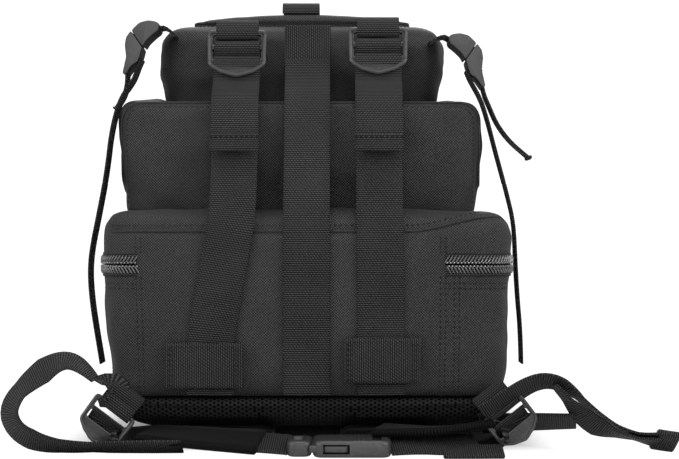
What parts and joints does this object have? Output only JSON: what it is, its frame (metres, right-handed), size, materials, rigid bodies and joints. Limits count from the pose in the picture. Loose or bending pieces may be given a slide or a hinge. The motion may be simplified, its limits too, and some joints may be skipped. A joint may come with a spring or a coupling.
{
  "type": "trauma backpack",
  "caption": "Stepped three-compartment backpack lying on its back panel, with clamshell lid, webbing, ladder locks and waist buckle.",
  "frame": {"origin": "on the ground, at the middle of the pack's footprint, the loose strap tails left out", "axes": "+Z is the pack's front and points up as it lies on its back panel, -Y is its base, +Y its top end, +X to the right when looking at the base"},
  "size_m": [0.458, 0.535, 0.3175],
  "materials": {
    "pack_fabric": "coated woven nylon, fine diagonal weave",
    "lining": "plain woven lining",
    "air_mesh": "spacer mesh with open cells",
    "webbing": "ribbed woven webbing",
    "strap_pad": "padded fabric with bound edges",
    "zip_chain": "heavy coil zip",
    "slider_metal": "black enamelled zip slider",
    "buckle_plastic": "satin moulded acetal",
    "frame_plastic": "flexible polyethylene sheet"
  },
  "bodies": {
    "root": {"back_pad": "air_mesh", "frame_sheet": "frame_plastic", "sleeve_panel": "lining", "main_rear_shell": "pack_fabric", "rear_zip_half": "zip_chain", "hip_wing_left": "strap_pad", "hip_wing_right": "strap_pad", "belt_webbing_right": "webbing", "waist_buckle_socket": "buckle_plastic", "shoulder_yoke": "strap_pad", "centre_webbing_lower": "webbing", "left_base_strap_lower": "webbing", "right_base_strap_lower": "webbing", "base_patches": "webbing", "side_webbing": "webbing", "left_compression_webbing": "webbing", "right_compression_webbing": "webbing", "left_corner_webbing": "webbing", "right_corner_webbing": "webbing"},
    "main_lid": {"main_front_shell": "pack_fabric", "front_zip_half": "zip_chain", "second_shell": "pack_fabric", "lower_pocket_shell": "pack_fabric", "centre_webbing_upper": "webbing", "left_base_strap_upper": "webbing", "right_base_strap_upper": "webbing", "lock_anchor_loops": "webbing", "left_compression_socket": "buckle_plastic", "right_compression_socket": "buckle_plastic", "compression_anchors": "webbing"},
    "second_lid": {"second_lid_shell": "pack_fabric", "upper_pocket_shell": "pack_fabric"},
    "lower_flap": {"lower_flap": "pack_fabric", "lower_flap_webbing": "webbing"},
    "upper_flap": {"upper_flap": "pack_fabric", "upper_flap_webbing": "webbing"},
    "main_slider_left": {"main_slider_left": "slider_metal"},
    "main_slider_right": {"main_slider_right": "slider_metal"},
    "second_slider": {"second_slider": "slider_metal"},
    "lower_flap_slider": {"lower_flap_slider": "slider_metal"},
    "upper_flap_slider": {"upper_flap_slider": "slider_metal"},
    "left_ladder_lock": {"left_ladder_lock": "buckle_plastic"},
    "right_ladder_lock": {"right_ladder_lock": "buckle_plastic"},
    "left_compression_tongue": {"left_compression_tongue": "buckle_plastic"},
    "right_compression_tongue": {"right_compression_tongue": "buckle_plastic"},
    "waist_tongue": {"waist_buckle_tongue": "buckle_plastic", "belt_webbing_left": "webbing"},
    "shoulder_left": {"shoulder_strap_left": "strap_pad", "left_lower_webbing": "webbing", "left_tail_webbing": "webbing"},
    "shoulder_right": {"shoulder_strap_right": "strap_pad", "right_lower_webbing": "webbing", "right_tail_webbing": "webbing"},
    "left_shoulder_lock": {"left_shoulder_lock": "buckle_plastic"},
    "right_shoulder_lock": {"right_shoulder_lock": "buckle_plastic"},
    "sternum_left": {"sternum_webbing_left": "webbing", "sternum_socket": "buckle_plastic"},
    "sternum_right": {"sternum_webbing_right": "webbing", "sternum_tongue": "buckle_plastic"},
    "grab_handle": {"grab_handle": "webbing"}
  },
  "joints": [
    {"name": "main_lid_open", "type": "hinge", "parent": "root", "child": "main_lid", "pos_m": [0, -0.236, 0.129], "axis": [1, 0, 0], "range_deg": [0, 100], "deforming": ["left_compression_webbing", "right_compression_webbing"]},
    {"name": "second_lid_open", "type": "hinge", "parent": "main_lid", "child": "second_lid", "pos_m": [0, 0.048, 0.2446], "axis": [1, 0, 0], "range_deg": [0, 45]},
    {"name": "lower_flap_open", "type": "hinge", "parent": "main_lid", "child": "lower_flap", "pos_m": [0, -0.1495, 0.30015], "axis": [1, 0, 0], "range_deg": [0, 90]},
    {"name": "upper_flap_open", "type": "hinge", "parent": "second_lid", "child": "upper_flap", "pos_m": [0, 0.0985, 0.28215], "axis": [1, 0, 0], "range_deg": [0, 85]},
    {"name": "main_zip_left", "type": "slide", "parent": "root", "child": "main_slider_left", "axis": [0, -1, 0], "range_m": [0, 0.28]},
    {"name": "main_zip_right", "type": "slide", "parent": "root", "child": "main_slider_right", "axis": [0, -1, 0], "range_m": [0, 0.28]},
    {"name": "second_zip", "type": "slide", "parent": "main_lid", "child": "second_slider", "axis": [0, 1, 0], "range_m": [0, 0.1]},
    {"name": "lower_flap_zip", "type": "slide", "parent": "main_lid", "child": "lower_flap_slider", "axis": [0, -1, 0], "range_m": [0, 0.08]},
    {"name": "upper_flap_zip", "type": "slide", "parent": "second_lid", "child": "upper_flap_slider", "axis": [0, -1, 0], "range_m": [0, 0.03]},
    {"name": "left_lock_tilt", "type": "hinge", "parent": "main_lid", "child": "left_ladder_lock", "pos_m": [-0.05, -0.178, 0.292], "axis": [-1, 0, 0], "range_deg": [0, 50], "deforming": ["left_base_strap_upper"]},
    {"name": "right_lock_tilt", "type": "hinge", "parent": "main_lid", "child": "right_ladder_lock", "pos_m": [0.05, -0.178, 0.294], "axis": [-1, 0, 0], "range_deg": [0, 50], "deforming": ["right_base_strap_upper"]},
    {"name": "left_compression_release", "type": "slide", "parent": "main_lid", "child": "left_compression_tongue", "axis": [-0.8, 0, -0.6], "range_m": [0, 0.025], "deforming": ["left_compression_webbing"]},
    {"name": "right_compression_release", "type": "slide", "parent": "main_lid", "child": "right_compression_tongue", "axis": [0.8, 0, -0.6], "range_m": [0, 0.025], "deforming": ["right_compression_webbing"]},
    {"name": "waist_release", "type": "slide", "parent": "root", "child": "waist_tongue", "axis": [-1, 0, 0], "range_m": [0, 0.03]},
    {"name": "shoulder_left_swing", "type": "hinge", "parent": "root", "child": "shoulder_left", "pos_m": [0, 0.1398, 0.0003], "axis": [1, 0, 0], "range_deg": [0, 30], "deforming": ["left_corner_webbing"]},
    {"name": "shoulder_right_swing", "type": "hinge", "parent": "root", "child": "shoulder_right", "pos_m": [0, 0.1398, 0.0003], "axis": [1, 0, 0], "range_deg": [0, 30], "deforming": ["right_corner_webbing"]},
    {"name": "left_shoulder_lock_tilt", "type": "hinge", "parent": "shoulder_left", "child": "left_shoulder_lock", "pos_m": [-0.13, -0.234, 0.031], "axis": [-0.7986, 0, 0.6018], "range_deg": [0, 50]},
    {"name": "right_shoulder_lock_tilt", "type": "hinge", "parent": "shoulder_right", "child": "right_shoulder_lock", "pos_m": [0.133, -0.234, 0.031], "axis": [-0.7771, 0, -0.6293], "range_deg": [0, 50]},
    {"name": "sternum_left_slide", "type": "slide", "parent": "shoulder_left", "child": "sternum_left", "axis": [0, 1, 0], "range_m": [-0.02, 0.02]},
    {"name": "sternum_right_slide", "type": "slide", "parent": "shoulder_right", "child": "sternum_right", "axis": [0, 1, 0], "range_m": [-0.02, 0.02]},
    {"name": "grab_handle_turn", "type": "hinge", "parent": "root", "child": "grab_handle", "pos_m": [0, 0.236, 0.042], "axis": [1, 0, 0], "range_deg": [-50, 90]}
  ]
}
